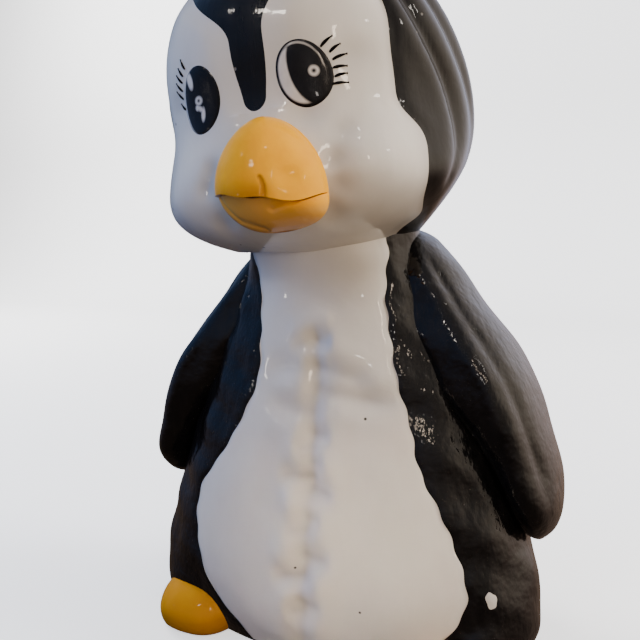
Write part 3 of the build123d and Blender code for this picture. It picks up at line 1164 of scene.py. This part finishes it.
@dataclass
class Beak:
    """The beak: a plump upper half over a shorter lower half with a lip."""

    head: Head
    x: float = 6.2
    mouth: float = 20.5
    # Half width, reach and height of each half, and how far both reach back into the face
    upper: Triple = (15.6, 13.2, 19.2)
    lower: Triple = (15.4, 10.8, 10.4)
    back: float = 3.0
    # Droop of the mouth line from its left corner over the tip to the hooked right corner, by X
    droop: Sequence[Pair] = (
        (-16, 0.8), (-9, 0.6), (-4, -0.6), (0, -1.5), (3, -1.7), (6, -2.4), (9, -3.4), (12, -3.6), (16, -2.0))
    # Ridge down to the tip: rise and half width
    ridge: Pair = (1.4, 7.5)
    # Dent over the hooked corner of the mouth: X, height from the mouth, depth and radius
    dent: tuple[float, float, float, float] = (9.5, 2.5, 0.9, 2.2)
    # Fine crack up from the tip, as X and height from the mouth
    crack: Sequence[Pair] = ((4.6, -1.9), (4.8, 0.6), (4.5, 2.0), (4.0, 2.9))
    crack_depth: float = 0.5
    # Lip lines pressed into the lower half, as X and height from the mouth
    lips: Sequence[Sequence[Pair]] = (
        ((14.5, -1.0), (9.5, -3.8), (3.8, -4.8)), ((-12.5, 0.5), (-10.5, -3.2), (-8.0, -6.2), (-2.0, -9.0)))
    lip_depth: float = 0.8
    # Middle of the inside of the mouth: how far before the face, and how far from the mouth line
    mouth_in: float = 4
    mouth_arch: float = 1.5
    # How far the lower half leans aside and back towards its pole
    lean: Pair = (1.8, 2.4)

    def seat(self) -> float:
        """Y of the face where the beak sits."""
        h = np.array([self.mouth])
        return float(self.head.ring.point(self.head.ring.turn_at(np.array([self.x]), h), h)[0, 1])

    def half(self, sign: int, radii: Triple) -> Surface:
        """Lays the outer surface of one half, from the mouth line to its pole.

        Args:
            sign: One for the upper half, minus one for the lower.
            radii: Half width, reach and height.

        Returns:
            The surface.
        """
        seat = self.seat()
        droop = curve(self.droop)

        def surface(u: Array, v: Array) -> Array:
            """Finds points of the half.

            Args:
                u: Share of the turn round it, from the back.
                v: Share of the way from the mouth line to its pole.

            Returns:
                The points.
            """
            a = (u * 2 - 1) * math.pi
            b = v * QUARTER
            flat = np.cos(b) ** (1.25 if sign > 0 else 0.8)
            x = radii[0] * np.sin(a) * flat
            y = -np.where(np.cos(a) > 0, radii[1], self.back) * np.cos(a) * np.cos(b) ** 0.95
            z = sign * radii[2] * np.sin(b)
            ahead = step(np.cos(a), 0.2, 1.0)
            sag = droop(x) * step(np.cos(a), -0.3, 0.1) * (1 - v) ** 2
            if sign > 0:
                # A soft ridge runs down to the tip, and the mouth's corner hooks down on the left side
                y = y - self.ridge[0] * bell(x, self.ridge[1]) * ahead * flat
                z = z + sag
                dx, dz, depth, radius = self.dent
                y = y + depth * bell(np.hypot(x - dx, z - dz), radius) * step(np.cos(a), 0.0, 0.3)
                y = y + self.crack_depth * bell(to_path(x, z, self.crack)[0], 0.35) * ahead
            else:
                z = z + sag - 0.15 * (1 - v) ** 2
                x = x + self.lean[0] * np.sin(b)
                y = y + self.lean[1] * np.sin(b) * np.cos(a) * (np.cos(a) > 0)
                for path in self.lips:
                    y = y + self.lip_depth * bell(to_path(x, z, path)[0], 0.75) * step(np.cos(a), 0.0, 0.25)
            return self.head.place(np.stack([x + self.x, y + seat, z + self.mouth], -1))

        return surface

    def build(self, yellow: bpy.types.Material, amber: bpy.types.Material) -> None:
        """Builds both halves.

        Args:
            yellow: Glaze of the upper half.
            amber: Glaze of the lower half.
        """
        for name, sign, radii, mat, slot in (
                ("upper_beak", 1, self.upper, yellow, Slot.YELLOW),
                ("lower_beak", -1, self.lower, amber, Slot.AMBER)):
            shell = self.half(sign, radii)
            middle = np.array([[self.x, self.seat() - self.mouth_in, self.mouth + self.mouth_arch * sign]])
            obj = join(name + "_form", [
                patch("shell", 220, 90, shell), patch("mouth", 220, 10, fan(shell, self.head.place(middle)))])
            local = self.head.unplace(points_of(obj))
            across, up = local[:, 0] - self.x, local[:, 2] - self.mouth
            # Painted shade under the tip and over most of the lower half, left off at the hooked corner; the
            # glaze also pools in the crack
            corner = step(across, 3, 9) * step(up, -7, -4)
            pooled_and_shaded = 0.85 - 0.8 * corner
            if sign > 0:
                split = bell(to_path(across, up, self.crack)[0], 0.4)
                pooled_and_shaded = 0.7 * step(-up, -7, 1.5) ** 2 * (1 - corner) + split
            mark_pool_and_shade(obj, pooled_and_shaded)
            smooth(obj)
            dress(obj, mat, slot, name)


@dataclass
class Eye:
    """A raised painted eye with lashes in fine brush strokes."""

    head: Head
    name: str
    middle: Pair
    half: Pair
    lean: float
    lashes: Sequence[tuple[Pair, Pair]]
    rise: float = 0.8
    sunk: float = 0.05
    wall: float = 1.4
    # A lash: half width, bend aside, height of its edges over the face and of its middle over these, wall
    lash_half: float = 0.42
    lash_bend: float = 0.18
    lash_edge: float = 0.16
    lash_crown: float = 0.12
    lash_wall: float = 0.35

    def dome(self, u: Array, v: Array) -> Array:
        """Finds points of the raised oval.

        Args:
            u: Share of the turn round it.
            v: Share of the way from its rim to its middle.

        Returns:
            The points.
        """
        t, a, r = math.radians(self.lean), u * FULL_TURN, 1 - v
        p, q = self.half[0] * r * np.cos(a), self.half[1] * r * np.sin(a)
        x = self.middle[0] + p * math.cos(t) - q * math.sin(t)
        h = self.middle[1] + p * math.sin(t) + q * math.cos(t)
        return self.head.on_face(x, h, self.rise * np.sqrt(np.clip(1 - r ** 2.6, 0, 1)) - self.sunk)

    def map_paint(self, obj: bpy.types.Object) -> None:
        """Maps the paint over the eye.

        Args:
            obj: The eye.
        """
        flat = self.head.unplace(points_of(obj))
        t = math.radians(self.lean)
        dx, dz = flat[:, 0] - self.middle[0], flat[:, 2] - self.middle[1]
        p = (dx * math.cos(t) + dz * math.sin(t)) / self.half[0]
        q = (-dx * math.sin(t) + dz * math.cos(t)) / self.half[1]
        index = np.empty(len(obj.data.loops), int)
        obj.data.loops.foreach_get("vertex_index", index)
        layer = obj.data.uv_layers.new(name="paint")
        layer.data.foreach_set("uv", (np.stack([p[index], q[index]], -1) / PAINT_SPAN + 0.5).ravel())

    def stroke(self, start: Pair, end: Pair) -> Surface:
        """Lays one tapered brush stroke with a slight bend on the face.

        Args:
            start: X and height where the brush is set down.
            end: X and height where it is lifted.

        Returns:
            The stroke's surface.
        """
        d = np.subtract(end, start)
        side = np.array([-d[1], d[0]]) / np.hypot(*d)

        def surface(u: Array, v: Array) -> Array:
            """Finds points of the stroke.

            Args:
                u: Share of the way across it.
                v: Share of the way along it.

            Returns:
                The points.
            """
            across = u * 2 - 1
            taper = np.sin(np.clip(0.12 + 0.88 * v, 0, 1) * math.pi) ** 0.7 * (1 - 0.35 * v)
            off = across * (self.lash_half * taper + 0.02) + self.lash_bend * np.sin(v * math.pi)
            x = start[0] + d[0] * v + side[0] * off
            h = start[1] + d[1] * v + side[1] * off
            return self.head.on_face(x, h, self.lash_edge + self.lash_crown * (1 - across ** 2))

        return surface

    def build(self, paint: bpy.types.Material, ink: bpy.types.Material) -> None:
        """Builds the eye and its lashes.

        Args:
            paint: The eye's enamel.
            ink: Ink of the lashes.
        """
        eye = join(self.name + "_dome", [patch("eye", 72, 20, self.dome)], 0.005)
        lies_outward(eye, self.head.middle)
        thicken(eye, self.wall)
        self.map_paint(eye)
        smooth(eye)
        dress(eye, paint, Slot.EYE, self.name)
        lash = join(self.name + "_lashes", [
            patch(f"lash_{i}", 4, 14, self.stroke(a, b)) for i, (a, b) in enumerate(self.lashes)], 0.001)
        lies_outward(lash, self.head.middle)
        thicken(lash, self.lash_wall)
        mark_pool_and_shade(lash, 0.0)
        smooth(lash)
        dress(lash, ink, Slot.EYE)


# flippers and feet

@dataclass
class Flipper:
    """A flipper that hangs from the shoulder with its tip free of the body."""

    side: Side
    tip: float
    shoulder: float
    reach: float = 65.0
    thick: float = 10.0
    deep: float = 22.0
    back: float = 2.0
    # Share of the height, and shares of reach, thickness and depth there
    rows: Sequence[tuple[float, float, float, float]] = (
        (0.000, 0.999, 0.20, 0.27), (0.100, 0.985, 0.70, 0.77), (0.289, 0.921, 0.90, 1.00),
        (0.600, 0.735, 1.00, 1.00), (0.785, 0.548, 0.93, 0.76), (0.905, 0.447, 0.80, 0.60),
        (1.000, 0.369, 0.50, 0.38))
    # Shares of the length over which tip and shoulder round off
    round_ends: Pair = (0.06, 0.05)
    lump: float = 0.35
    # Long fold near the front edge: turn in degrees, and depth
    fold: Pair = (318, 1.1)
    # Clay between blade and coat: how much it fills out inwards, and how square it makes the edge
    web: Pair = (0.95, 0.5)

    def skin(self, u: Array, v: Array) -> Array:
        """Finds points of the blade.

        Args:
            u: Share of the turn round it.
            v: Share of the way from its tip to the shoulder.

        Returns:
            The points.
        """
        a = u * FULL_TURN
        share = np.clip(v + 0.03 * np.sin(v * math.pi), 0, 1)
        reach, thick, deep = (
            spline([r[0] for r in self.rows], [r[i] for r in self.rows])(share) for i in (1, 2, 3))
        # Rolls and brush lumps down the blade, with the fold
        lump = 0.5 * np.sin(v * 17 + 3 * np.cos(a)) * np.sin(2 * a + v * 5) + 0.35 * np.sin(v * 31 + a * 3)
        turn, depth = self.fold
        from_fold = (a - math.radians(turn) + math.pi) % FULL_TURN - math.pi
        fold = bell(from_fold + 0.25 * v, 0.16) * step(v, 0.1, 0.3) * step(-v, -0.95, -0.8)
        swell = lump * self.lump - depth * fold
        close = rounded(v / self.round_ends[0]) * rounded((1 - v) / self.round_ends[1])
        across = (self.thick * thick + swell) * close
        along = (self.deep * deep + swell) * close
        # The clay smoothed in fills the inner side from the shoulder down
        fill, square = self.web
        web = step(-np.cos(a), 0.0, 0.5) * step(v, 0.16, 0.5)
        x = self.side.value * (self.reach * reach + across * np.cos(a) * (1 + fill * web))
        y = self.back + along * signed_power(np.sin(a), 1 - square * web)
        return np.stack([x, y, self.tip + (self.shoulder - self.tip) * share], -1)

    def build(self, black: bpy.types.Material) -> None:
        """Builds the flipper.

        Args:
            black: Its glaze.
        """
        name = self.side.node("flipper")
        obj = join(name + "_blade", [patch("blade", 120, 130, self.skin)])
        mark_pool_and_shade(obj, 0.0)
        smooth(obj)
        dress(obj, black, Slot.BLACK, name)


@dataclass
class Foot:
    """A low rounded foot under the coat's hem."""

    side: Side
    spread: float = 43.4
    forward: float = 21.0
    half: Triple = (15.6, 20.0, 14.4)
    # Share of the dome over which its edge rolls under, and by what share of its size
    roll: Pair = (0.3, 0.14)
    square: float = 0.75

    def dome(self, u: Array, v: Array) -> Array:
        """Finds points of the dome.

        Args:
            u: Share of the turn round it.
            v: Share of the way from the ground to its top.

        Returns:
            The points.
        """
        a, b = u * FULL_TURN, v * QUARTER
        flat = np.cos(b) ** 0.42 * (1 - self.roll[1] * (1 - rounded(v / self.roll[0])))
        x = self.half[0] * signed_power(np.cos(a), self.square) * flat
        y = self.half[1] * signed_power(np.sin(a), self.square) * flat
        z = self.half[2] * np.sin(b) ** 0.85
        return np.stack([self.side.value * self.spread + x, y - self.forward, z], -1)

    def build(self, yellow: bpy.types.Material) -> None:
        """Builds the foot.

        Args:
            yellow: Its glaze.
        """
        name = self.side.node("foot")
        sole = fan(self.dome, np.array([[self.side.value * self.spread, -self.forward, 0.0]]))
        obj = join(name + "_dome", [patch("dome", 80, 26, self.dome), patch("sole", 80, 6, sole)])
        # Painted shade over the whole foot, darker towards the ground, where the glaze also pools
        mark_pool_and_shade(obj, 0.6 + 0.4 * step(-points_of(obj)[:, 2], -9, -1))
        smooth(obj)
        dress(obj, yellow, Slot.YELLOW, name)
        # The brushed coat breaks the light too much to mirror the feet
        obj.visible_glossy = False


# stage, light and camera

@dataclass(frozen=True)
class Lamp:
    """A soft area light; its spread is in degrees, and the glaze mirrors it or not."""

    name: str
    place: Triple
    size: Pair
    watts: float
    colour: str
    aim: Triple = (0, 0, 110)
    mirrored: bool = False
    spread: float = 180.0

    def hang(self) -> None:
        """Hangs the light in its place, turned to its aim."""
        data = bpy.data.lights.new(self.name, "AREA")
        data.shape = "RECTANGLE"
        data.size, data.size_y = self.size[0] * MM, self.size[1] * MM
        data.energy = self.watts
        data.color = linear(self.colour)[:3]
        data.spread = math.radians(self.spread)
        obj = bpy.data.objects.new(self.name, data)
        obj.location = Vector(self.place) * MM
        obj.rotation_euler = (Vector(self.aim) - Vector(self.place)).to_track_quat("-Z", "Y").to_euler()
        obj.visible_glossy = self.mirrored
        bpy.context.scene.collection.objects.link(obj)


LAMPS = (
    # Broad lights that shape the figure and leave no mirror image
    Lamp("top_softbox", (-60, -420, 620), (420, 420), 0.6, "#F6F8FF"),
    Lamp("cool_window", (-620, -260, 260), (260, 560), 2.7, "#66A6FF"),
    Lamp("warm_fill", (440, -470, 150), (240, 420), 1.8, "#FFE4C4", (0, -20, 50)),
    Lamp("belly_fill", (260, -500, 60), (50, 50), 0.007, "#FFEBCF", (16, -40, 42), spread=8.0),
    Lamp("rim", (420, 420, 380), (200, 420), 0.5, "#FFD9C8"),
    # Small ones that the glaze mirrors as bright spots
    Lamp("strip_a", (-60, -430, 430), (90, 30), 0.22, "#FFF4E6", mirrored=True),
    Lamp("strip_b", (340, -400, 330), (30, 90), 0.14, "#FFE8D0", mirrored=True),
    *(Lamp(f"bulb_{i}", place, (26, 26), 0.035, "#FFF6EC", mirrored=True) for i, place in enumerate((
        (-300, -350, 480), (150, -300, 600), (450, -150, 420), (220, -520, 220), (-420, -380, 160)))),
    # Two for the backdrop alone
    *(Lamp("backdrop", (x, 350, 700), (700, 700), 20.0, "#FFFFFF", (x / 3, 1000, 150)) for x in (-900, 900)))


@dataclass
class Studio:
    """Pale sweep, soft lights and the camera at the viewing angle of the photograph."""

    azimuth: float = 24.0
    pan: float = 1.8
    distance: float = 225.0
    height: float = 134.0
    pitch: float = 8.2
    roll: float = -2.0
    sensor: float = 36.0
    focal_share: float = 678 / 640
    # Sweep: half width, front end, length, where its bend starts, run of the bend and its radius
    half_width: float = 1800
    front: float = -1000
    length: float = 2600
    bend_at: float = 700
    bend_run: float = 500
    bend_radius: float = 320
    # Room round the figure: cool side, warm side, what lies below, and where its light comes from
    cool: str = "#7FB2FF"
    warm: str = "#FFEBD2"
    below: str = "#B39683"
    bright: Triple = (0.72, 0.69, 0.1)

    def camera(self) -> None:
        """Sets the camera."""
        a, b, p, r = (math.radians(v) for v in (self.azimuth, self.azimuth + self.pan, self.pitch, self.roll))
        place = Vector((math.sin(a), -math.cos(a), 0)) * self.distance + Vector((0, 0, self.height))
        look = Vector((-math.sin(b) * math.cos(p), math.cos(b) * math.cos(p), -math.sin(p)))
        right = look.cross(Vector((0, 0, 1))).normalized()
        up = right.cross(look)
        x = right * math.cos(r) + up * math.sin(r)
        y = up * math.cos(r) - right * math.sin(r)
        data = bpy.data.cameras.new("camera")
        data.sensor_width = self.sensor
        data.lens = self.sensor * self.focal_share
        data.clip_start = 0.01
        obj = bpy.data.objects.new("camera", data)
        turn = Matrix((x, y, -look)).transposed().to_4x4()
        obj.matrix_world = Matrix.Translation(place * MM) @ turn
        bpy.context.scene.collection.objects.link(obj)
        bpy.context.scene.camera = obj

    def sweep(self, u: Array, v: Array) -> Array:
        """Finds points of the floor that curves up into a backdrop.

        Args:
            u: Share of the way across it.
            v: Share of the way from its front to its top.

        Returns:
            The points.
        """
        run = v * self.length + self.front
        past = run - self.bend_at
        bend = np.clip(past / self.bend_run, 0, 1) * QUARTER
        y = np.minimum(run, self.bend_at) + self.bend_radius * np.sin(bend)
        z = self.bend_radius * (1 - np.cos(bend)) + np.maximum(past - self.bend_run, 0)
        return np.stack([(u * 2 - 1) * self.half_width, y, z], -1)

    def floor(self) -> None:
        """Lays the sweep, which the camera sees and the figure doesn't mirror."""
        floor = join("floor", [patch("sweep", 4, 60, self.sweep)])
        # Studio paper: matt and pale, with a glow that fades the shadow on it
        mat = empty_material("pale studio paper")
        shader = add(mat.node_tree, "BsdfPrincipled", {
            "Base Color": linear("#FAFAF9"), "Roughness": 0.9,
            "Emission Color": linear("#FFFFFF"), "Emission Strength": 1.0})
        add(mat.node_tree, "OutputMaterial", {}, {0: shader.outputs[0]})
        floor.data.materials.append(mat)
        smooth(floor, SHELL_ANGLE)
        floor.visible_glossy = floor.visible_diffuse = False

    def world(self) -> None:
        """Paints the room that the glaze mirrors, behind a plain background for the camera."""
        world = bpy.context.scene.world or bpy.data.worlds.new("studio")
        bpy.context.scene.world = world
        world.use_nodes = True
        tree = world.node_tree
        tree.nodes.clear()
        view = add(tree, "TexCoord").outputs["Generated"]
        way = add(tree, "SeparateXYZ", {}, {0: view})
        share = add(tree, "MapRange", {1: -1.0, 2: 1.0}, {0: way.outputs[0]})
        tint = add(tree, "Mix", {"data_type": "RGBA", 6: linear(self.cool), 7: linear(self.warm)},
                   {0: share.outputs[0]})
        rise = add(tree, "MapRange", {1: -0.35, 2: 0.25}, {0: way.outputs[2]})
        room = add(tree, "Mix", {"data_type": "RGBA", 6: linear(self.below)},
                   {0: rise.outputs[0], 7: tint.outputs[2]})
        behind = add(tree, "VectorMath", {"operation": "DOT_PRODUCT", 1: self.bright}, {0: view})
        glow = add(tree, "MapRange", {1: 0.15, 2: 1.0, 3: 0.32, 4: 1.5, "interpolation_type": "SMOOTHSTEP"},
                   {0: behind.outputs["Value"]})
        # The table top under the figure gives back less light
        table = add(tree, "MapRange", {1: -0.45, 2: 0.0, 3: 0.35, 4: 1.0}, {0: way.outputs[2]})
        dim = add(tree, "Math", {"operation": "MULTIPLY"}, {0: glow.outputs[0], 1: table.outputs[0]})
        sky = add(tree, "Background", {}, {"Color": room.outputs[2], "Strength": dim.outputs[0]})
        plain = add(tree, "Background", {"Color": linear("#F4F4F3"), "Strength": 2.5})
        seen = add(tree, "LightPath").outputs["Is Camera Ray"]
        both = add(tree, "MixShader", {}, {0: seen, 1: sky.outputs[0], 2: plain.outputs[0]})
        add(tree, "OutputWorld", {}, {0: both.outputs[0]})

    def build(self) -> None:
        """Builds the sweep, the lights, the world and the camera."""
        self.floor()
        for lamp in LAMPS:
            lamp.hang()
        self.world()
        self.camera()


# Eye paint in shares of the eye's half size: white crescents round the pupil and a ringed highlight dot; on
# the right eye the small oval high on its outer side and the three small marks under the dot are painted
# reflections of a window
LEFT_PAINT = EyePaint(
    "overglaze enamel, left eye",
    ((Blot((-0.03, 0.0), (0.82, 0.86)), Blot((0.30, 0.04), (0.73, 1.05))),
     (Blot((0.03, 0.06), (0.80, 0.84)), Blot((0.0, 0.0), (0.85, 0.87))),
     (Blot((0.44, -0.05), (0.18, 0.15)), Blot((0.44, -0.05), (0.075, 0.06)))))
RIGHT_PAINT = EyePaint(
    "overglaze enamel, right eye",
    # Painted reflection: the small oval high on the outer side
    ((Blot((-0.42, 0.60), (0.15, 0.25), 20),),
     (Blot((0.0, 0.0), (0.99, 0.97)), Blot((0.10, 0.0), (0.99, 1.03))),
     (Blot((-0.05, 0.0), (0.19, 0.12)), Blot((-0.05, 0.0), (0.07, 0.045))),
     # Painted reflections: the three small marks under the dot
     (Blot((-0.16, -0.19), (0.10, 0.08)),), (Blot((0.0, -0.24), (0.19, 0.07), -22),),
     (Blot((0.13, -0.41), (0.10, 0.19), -10),)))


def main() -> None:
    """Builds the stage, then the figure piece by piece."""
    logging.basicConfig(level=logging.INFO, format="%(name)s %(message)s")
    white, black, brushed, ink, yellow, amber = (g.make() for g in (
        WHITE_GLAZE, BLACK_GLAZE, BRUSHED_GLAZE, LASH_INK, YELLOW_GLAZE, AMBER_GLAZE))
    Studio().build()
    body = Body()
    body.build(white, brushed)
    PaleSpot(body).build(white)
    head = Head()
    head.build(white, black)
    Beak(head).build(yellow, amber)
    Eye(head, "left_eye", (16.3, 49.1), (6.8, 8.6), 12, (
        ((21.1, 54.9), (24.1, 57.3)), ((22.9, 53.4), (25.6, 55.3)), ((23.3, 51.6), (26.8, 52.8)),
        ((23.1, 49.6), (26.4, 49.8)), ((23.2, 47.4), (26.2, 48.0)), ((22.4, 45.6), (26.2, 45.6)),
    )).build(LEFT_PAINT.make(), ink)
    Eye(head, "right_eye", (-15.0, 48.6), (7.4, 9.2), -4, (
        ((-19.2, 58.2), (-20.7, 61.3)), ((-20.6, 56.7), (-22.5, 59.5)), ((-21.5, 55.2), (-24.0, 58.0)),
        ((-22.2, 53.2), (-24.9, 56.1)), ((-22.7, 51.2), (-25.7, 54.1)), ((-22.4, 48.2), (-24.8, 50.5)),
    )).build(RIGHT_PAINT.make(), ink)
    Flipper(Side.LEFT, 35.0, 131.0).build(brushed)
    Flipper(Side.RIGHT, 40.0, 126.0).build(brushed)
    for side in Side:
        Foot(side).build(yellow)


if __name__ == "__main__":
    main()
